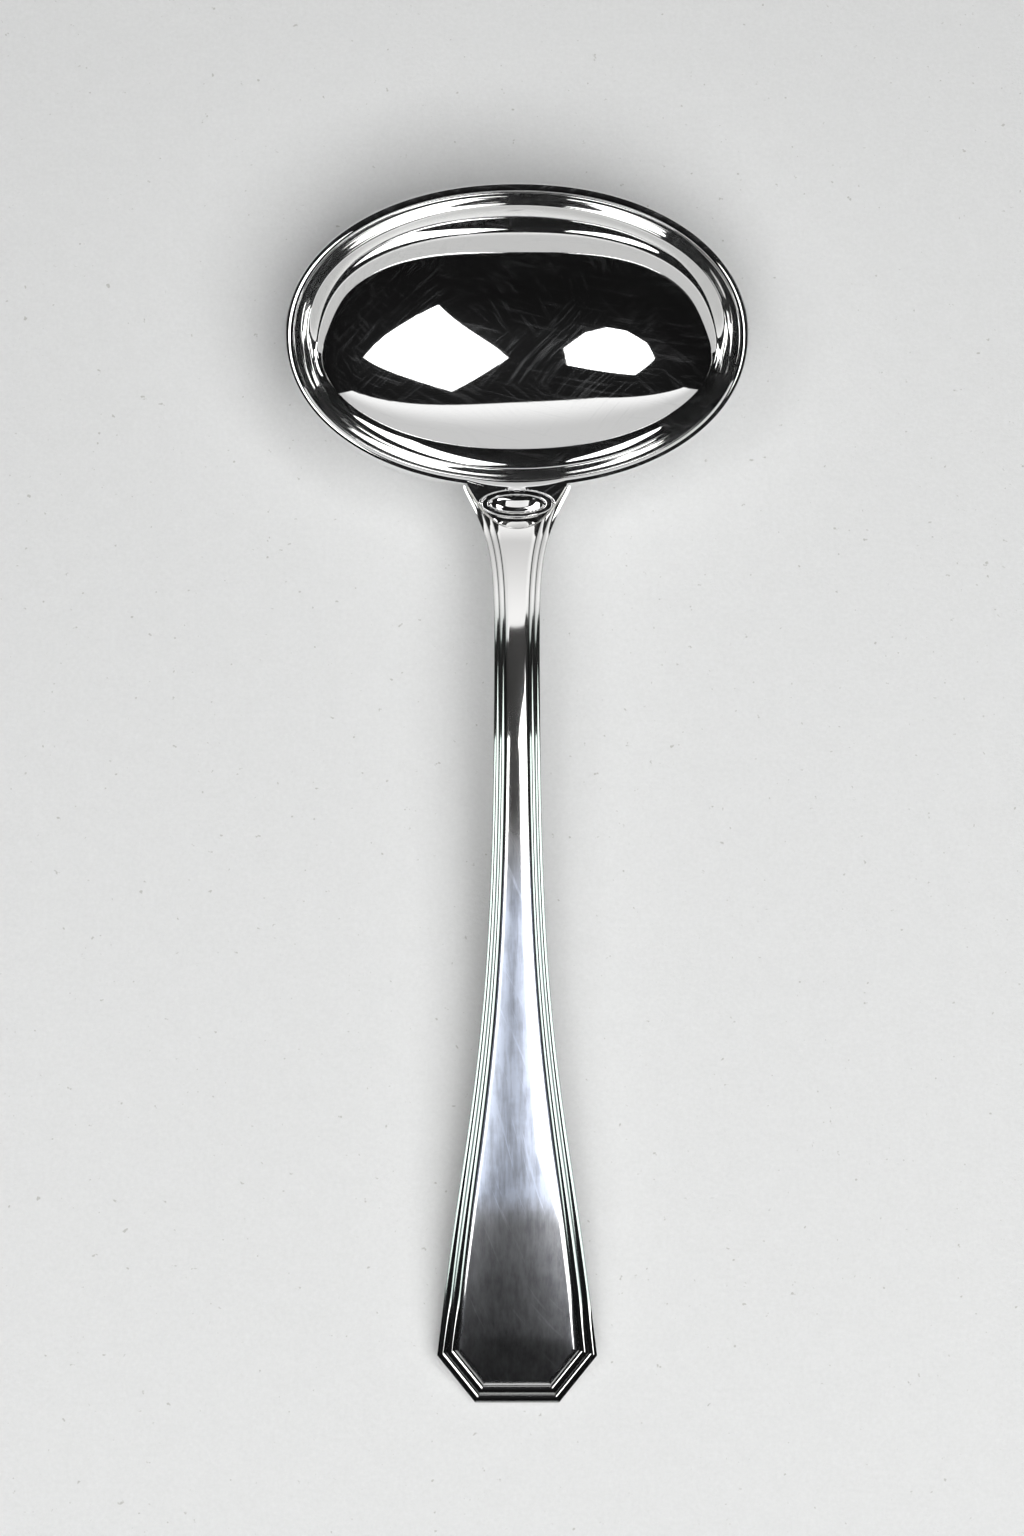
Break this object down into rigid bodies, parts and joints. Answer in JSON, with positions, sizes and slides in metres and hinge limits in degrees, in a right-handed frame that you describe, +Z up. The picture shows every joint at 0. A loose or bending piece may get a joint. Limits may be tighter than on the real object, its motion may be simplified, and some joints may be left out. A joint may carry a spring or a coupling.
{
  "type": "sauce ladle",
  "caption": "Silver-plated sauce ladle: a deep oval bowl set crosswise on a curved handle with a threaded border and a clipped, octagonal end. For serving sauce or gravy.",
  "frame": {"origin": "on the table, under the middle of the ladle's length and width", "axes": "+Y from the handle's end to the bowl, +Z up from the table, +X across the handle"},
  "size_m": [0.07, 0.1816, 0.0247],
  "materials": {
    "bowl_mirror_silver": "silver plate polished to a mirror, with fine swirl hairlines",
    "handle_brushed_silver": "bright silver plate, with fine hairlines along the panel and darker grooves between the threads",
    "silver_solder": "dull silver solder"
  },
  "bodies": {
    "root": {"bowl": "bowl_mirror_silver", "handle": "handle_brushed_silver", "solder_film": "silver_solder"}
  },
  "joints": []
}
